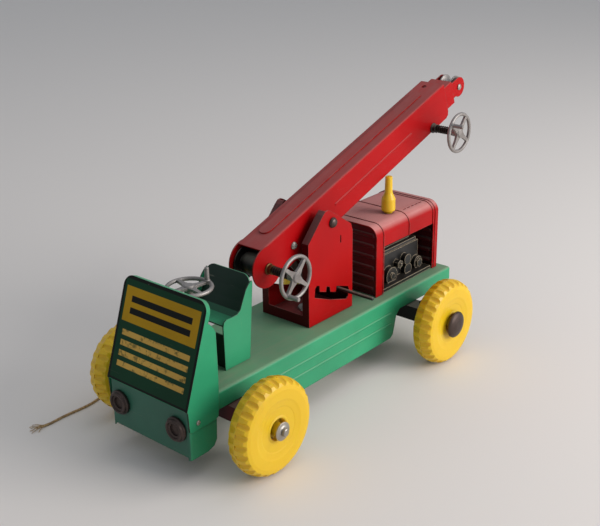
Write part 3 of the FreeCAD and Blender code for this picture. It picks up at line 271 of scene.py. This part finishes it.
def front_label():
    """The front plate's dark panel: an ochre block and level tan stripes, all evenly ruled."""
    finish = Finish("front_plate_label")
    x, y, z = finish.axes(finish.place)
    # Millimetres on the plate: across from its middle, and up from its foot.
    across = x * 1000
    up = ((y - PLATE_FOOT_Y) * math.sin(PLATE_LEAN) + (z - PLATE_FOOT_Z) * math.cos(PLATE_LEAN)) * 1000
    front = 1 - finish.rise(finish.axes(finish.facing)[1], -0.92, -0.86)

    def block(half_width, low, high):
        return (finish.band(across, 0, half_width, PRINT_EDGE)
                * finish.band(up, (low + high) / 2, (high - low) / 2, PRINT_EDGE))

    def stripes(half_width, low, high, count):
        """Level stripes, each as wide as the gap to the next."""
        pitch = (high - low) / (count - 0.5)
        away = abs((up - low + pitch / 4) % pitch - pitch / 2)
        return block(half_width, low, high) * (1 - finish.rise(away, pitch / 4, pitch / 4 + PRINT_EDGE))

    ochre, ink = shade(182, 140, 14), shade(8, 14, 9)
    colour = finish.blend(GREEN, shade(6, 58, 34), front * finish.rise(up, 0.6, 1.0))
    rim = (finish.rise(abs(across), PANEL_HALF_WIDTH, PANEL_HALF_WIDTH + RIM_EDGE)
           + finish.rise(up, PANEL_TOP, PANEL_TOP + RIM_EDGE) + finish.band(up, 1.2, 0.7, 0.3))
    colour = finish.blend(colour, ink, finish.rise(rim, 0.0, 1.0, "LINEAR") * front)
    colour = finish.blend(colour, ochre, block(39, 46.5, 73) * front)
    colour = finish.blend(colour, ink, stripes(32, 53, 66.5, 2) * front)
    rub = finish.noise(160, 4, rough=0.7)
    tan = stripes(36, 12, 40, 4) * (0.35 + 0.65 * finish.rise(rub, 0.36, 0.5))
    colour = finish.blend(colour, shade(206, 164, 78), tan * front)
    colour, rough, relief = wear(finish, colour, dust=0.15, chips=0.6, scratches=0.2, shadow=0.3)
    return finish.close(base_color=colour, roughness=rough, bump=relief, strength=0.25,
                        distance=0.00015, soften=0.0005, coat_weight=0.04, coat_roughness=0.2,
                        specular_ior_level=0.12)


# ---------------------------------------------------------------- other finishes

def metal(name, colour, rough=0.35, tarnish=0.5, metallic=0.9):
    """Plated or cast metal with a tarnish that gathers in its corners."""
    finish = Finish(name)
    cloud = finish.noise(60, 5, rough=0.65)
    grit = finish.noise(900, 3)
    deep = finish.rise(finish.hollows(0.003), 0.2, 0.8)
    edge = finish.edges(0.0005)
    stain = finish.rise(cloud + deep * 0.35, 0.42, 0.75) * tarnish
    base = finish.blend(colour, scaled(PRIMER, 0.7), stain)
    base = finish.blend(base, scaled(colour, 1.5), edge * 0.5)
    return finish.close(base_color=base, metallic=metallic, roughness=rough + stain * 0.35 + grit * 0.1,
                        bump=grit + cloud * 0.5, strength=0.2, distance=0.0001, soften=0.0003)


def moulding(name, colour, dusty, rough=0.45, edge_colour=None, rub=0.0, waxy=0.0):
    """Opaque moulded plastic with dust along its edges and painted shade deep in its corners."""
    finish = Finish(name)
    cloud = finish.noise(55, 4, rough=0.6)
    grit = finish.noise(600, 2)
    edge = finish.edges(0.0012) * (0.35 + cloud)
    up = finish.rise(finish.axes(finish.facing)[2], 0.2, 0.9)
    base = finish.blend(colour, dusty, finish.rise(cloud, 0.55, 0.75) * 0.25 + up * 0.3 * cloud)
    base = finish.blend(base, edge_colour or dusty, finish.rise(edge + rub * edge, 0.25, 0.75))
    # Painted shade: deep corners are darkened towards a fifth of the plastic's own colour.
    deep = finish.rise(finish.hollows(0.005), 0.5, 0.95)
    base = finish.blend(base, scaled(colour, 0.2), deep * 0.8)
    return finish.close(base_color=base, roughness=rough + cloud * 0.25, bump=grit * 0.4 + cloud,
                        strength=0.3, distance=0.0002, soften=0.0004, subsurface_weight=waxy,
                        subsurface_radius=(1.0, 0.6, 0.15), subsurface_scale=0.01)


RED = shade(170, 0, 6)
MAROON = shade(92, 18, 24)
BLACK = shade(22, 21, 21)

finishes = {
    # The chassis's forward colour is painted shade on its front apron.
    "green enamel": enamel("green_enamel", GREEN, dust=0.55, chips=0.62, scratches=0.6,
                           forward_shade=shade(50, 104, 84), dust_colour=shade(140, 144, 120)),
    # The seat's top colour is a dark grey-green: painted shade on the seat pan and other upward faces. Its
    # forward colour is painted shade too.
    "seat enamel": enamel("seat_enamel", GREEN, dust=0.3, chips=0.62, scratches=0.6,
                          forward_shade=shade(14, 46, 33), dust_colour=shade(60, 92, 76)),
    "hood enamel": enamel("hood_enamel", RED, dust=1.1, chips=0.5, scratches=0.12, shine=0.12,
                          dust_colour=shade(196, 134, 130)),
    # The turret's dark maroon forward colour and its strong hollow darkening are painted shade on its front
    # and inside.
    "turret enamel": enamel("turret_enamel", RED, dust=0.4, chips=0.5, scratches=0.15, shine=0.12,
                            forward_shade=shade(74, 4, 8), shadow=0.8, dust_colour=shade(150, 120, 116)),
    "red enamel": enamel("red_enamel", RED, dust=0.42, chips=0.45, scratches=0.12, shine=0.12, gloss=-0.08,
                         dust_colour=shade(150, 120, 116)),
    "front plate label": front_label(),
    "maroon enamel": enamel("maroon_enamel", MAROON, dust=0.3, chips=0.3, scratches=0.3),
    "black enamel": enamel("black_enamel", BLACK, dust=0.5, chips=0.7, scratches=0.6),
    "cast grey": metal("cast_grey", shade(150, 145, 142), rough=0.42, tarnish=0.45, metallic=0.65),
    "bright steel": metal("bright_steel", shade(170, 165, 158), rough=0.32, tarnish=0.5),
    "brown steel": metal("brown_steel", shade(78, 66, 62), rough=0.36, tarnish=0.45, metallic=0.8),
    "dark steel": metal("dark_steel", shade(58, 50, 46), rough=0.38, tarnish=0.6),
    "brass": metal("tarnished_brass", shade(104, 78, 48), rough=0.38, tarnish=0.45),
    "black moulding": moulding("engine_moulding", shade(15, 14, 14), shade(84, 74, 64),
                               rough=0.3, edge_colour=shade(178, 160, 134), rub=1.2),
    "yellow plastic": moulding("yellow_plastic", shade(222, 182, 22), shade(196, 150, 34), rough=0.26,
                               waxy=0.35),
}

wearing = {
    "green enamel": ("chassis",),
    "seat enamel": ("seat",),
    "hood enamel": ("hood",),
    "turret enamel": ("turret",),
    "front plate label": ("front_panel",),
    "red enamel": ("boom_outer", "boom_inner", "tip_fork"),
    "maroon enamel": ("hood_grille", "hood_tail_plate", "front_axle_hanger"),
    "black enamel": ("rear_axle_hanger", "elevating_rod", "winch_drum", "telescope_bushes",
                     "boom_hinge_nut"),
    "cast grey": ("tip_pulley", "steering_wheel", "winch_hand_wheel", "telescope_hand_wheel"),
    "bright steel": ("panel_rivets", "steering_column", "front_axle", "rear_axle", "push_nut",
                     "turret_rivet", "boom_guide_pin", "link_pin", "telescope_pinion", "elevating_strap",
                     "tip_pin", "hinge_spacers"),
    "dark steel": ("winch_shaft", "winch_spring", "telescope_shaft", "telescope_spring"),
    "brown steel": ("headlight_left", "headlight_right", "hubcap_front_right", "hubcap_rear_left",
                    "hubcap_rear_right", "boom_hinge_bolt"),
    "brass": ("winch_bushes",),
    "black moulding": ("engine_block",),
    "yellow plastic": ("wheel_front_left", "wheel_front_right", "wheel_rear_left", "wheel_rear_right",
                       "exhaust_stack"),
}


def dress(name, material):
    """Gives every slot of a CAD node one finish."""
    data = nodes[name].data
    for slot in range(len(data.materials)):
        data.materials[slot] = material
    if not data.materials:
        data.materials.append(material)


for key, names in wearing.items():
    for name in names:
        dress(name, finishes[key])


# ---------------------------------------------------------------- twine

CORD_ROUTE = [
    (-0.0616, -0.1474, 0.0384), (-0.0616, -0.1466, 0.0310), (-0.0618, -0.1434, 0.0200),
    (-0.0626, -0.1374, 0.0090), (-0.0666, -0.1300, 0.0026), (-0.0770, -0.1272, 0.00105),
    (-0.0890, -0.1286, 0.00105), (-0.0994, -0.1344, 0.00105), (-0.1056, -0.1444, 0.00105),
    (-0.1074, -0.1564, 0.00105), (-0.1058, -0.1676, 0.00105), (-0.1040, -0.1770, 0.00105),
    (-0.1045, -0.1880, 0.00105), (-0.1055, -0.2005, 0.00105), (-0.1050, -0.2120, 0.00105),
    (-0.1048, -0.2170, 0.00105), (-0.1058, -0.2215, 0.00105)]
CORD_DIAMETER = 0.002


def twine_finish():
    """Dull jute with darker fibres and soiled lengths."""
    finish = Finish("twine")
    fibre = finish.noise(900, 3, (1, 1, 3))
    cloud = finish.noise(70, 3)
    base = finish.blend(shade(196, 166, 120), shade(128, 98, 66), finish.rise(fibre, 0.35, 0.7))
    base = finish.blend(base, shade(92, 78, 62), finish.rise(cloud, 0.5, 0.7) * 0.4)
    return finish.close(base_color=base, roughness=0.92, bump=fibre, strength=0.6, distance=0.0003)


def strand_piece(name, routes, diameter):
    """Smooth round strands, one for each route of control points."""
    curve = bpy.data.curves.new(name, "CURVE")
    curve.dimensions = "3D"
    for route in routes:
        line = curve.splines.new("NURBS")
        line.points.add(len(route) - 1)
        for point, spot in zip(line.points, route):
            point.co = (*spot, 1)
        line.order_u = 3
        line.use_endpoint_u = True
        line.resolution_u = 10
    curve.bevel_depth = diameter / 2
    curve.bevel_resolution = 3
    curve.use_fill_caps = True
    piece = bpy.data.objects.new(name, curve)
    bpy.context.scene.collection.objects.link(piece)
    curve.materials.append(finishes["twine"])
    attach(piece, "truck")
    return piece


def twine():
    """The limp pull cord and the loose strands of its untwisted end."""
    strands, strand_gap, strand_diameter = 9, 0.0011, 0.0005
    tip = Vector(CORD_ROUTE[-1])
    heading = (tip - Vector(CORD_ROUTE[-2])).normalized()
    aside = Vector((-heading.y, heading.x, 0))
    chance = random.Random(7)
    routes = []
    for lane in range(strands):
        spread = (lane - strands // 2) * strand_gap + chance.uniform(-0.0006, 0.0006)
        reach = chance.uniform(0.006, 0.013)
        lift = chance.uniform(0.0, 0.0022)
        routes.append([tip - heading * 0.004 + aside * spread * 0.12,
                       tip + heading * 0.001 + aside * spread * 0.3,
                       tip + heading * reach * 0.55 + aside * spread * 0.8 + Vector((0, 0, lift)),
                       tip + heading * reach + aside * spread * 1.5 + Vector((0, 0, lift * 0.3 - 0.0006))])
    ends = strand_piece("twine_loose_ends", routes, strand_diameter)
    cord = strand_piece("pull_twine", [CORD_ROUTE], CORD_DIAMETER)
    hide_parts("pull_cord")


finishes["twine"] = twine_finish()
dress("cord_knot", finishes["twine"])
twine()


# ---------------------------------------------------------------- floor and light

def floor():
    """A wide floor of plain pale paper."""
    bpy.ops.object.select_all(action="DESELECT")
    bpy.ops.mesh.primitive_plane_add(size=24, location=(0, 0, 0))
    ground = bpy.context.object
    ground.name = "floor"
    finish = Finish("floor_paper")
    ground.data.materials.append(finish.close(base_color=shade(228, 222, 217), roughness=0.7,
                                              specular_ior_level=0.2))


def softbox(name, spot, target, size, power, colour):
    """A soft rectangular lamp at spot that faces target."""
    data = bpy.data.lights.new(name, "AREA")
    data.shape = "RECTANGLE"
    data.size, data.size_y = size
    data.energy = power
    data.color = colour
    lamp = bpy.data.objects.new(name, data)
    bpy.context.scene.collection.objects.link(lamp)
    aim = (Vector(target) - Vector(spot)).to_track_quat("-Z", "Y")
    lamp.matrix_world = Matrix.Translation(spot) @ aim.to_matrix().to_4x4()


def sky(colour, strength):
    """Even light from all around."""
    world = bpy.data.worlds.new("room")
    world.use_nodes = True
    back = world.node_tree.nodes["Background"]
    back.inputs["Color"].default_value = colour
    back.inputs["Strength"].default_value = strength
    bpy.context.scene.world = world


floor()
softbox("window", (1.35, 0.62, 0.62), (0, 0, 0.08), (1.0, 0.9), 22, (1.0, 0.96, 0.93))
softbox("ceiling", (0.5, 0.6, 1.9), (0, 0, 0), (1.6, 1.6), 7, (1.0, 0.98, 0.96))
sky((0.84, 0.90, 0.98, 1), 0.44)
bpy.context.scene.view_settings.view_transform = "Standard"
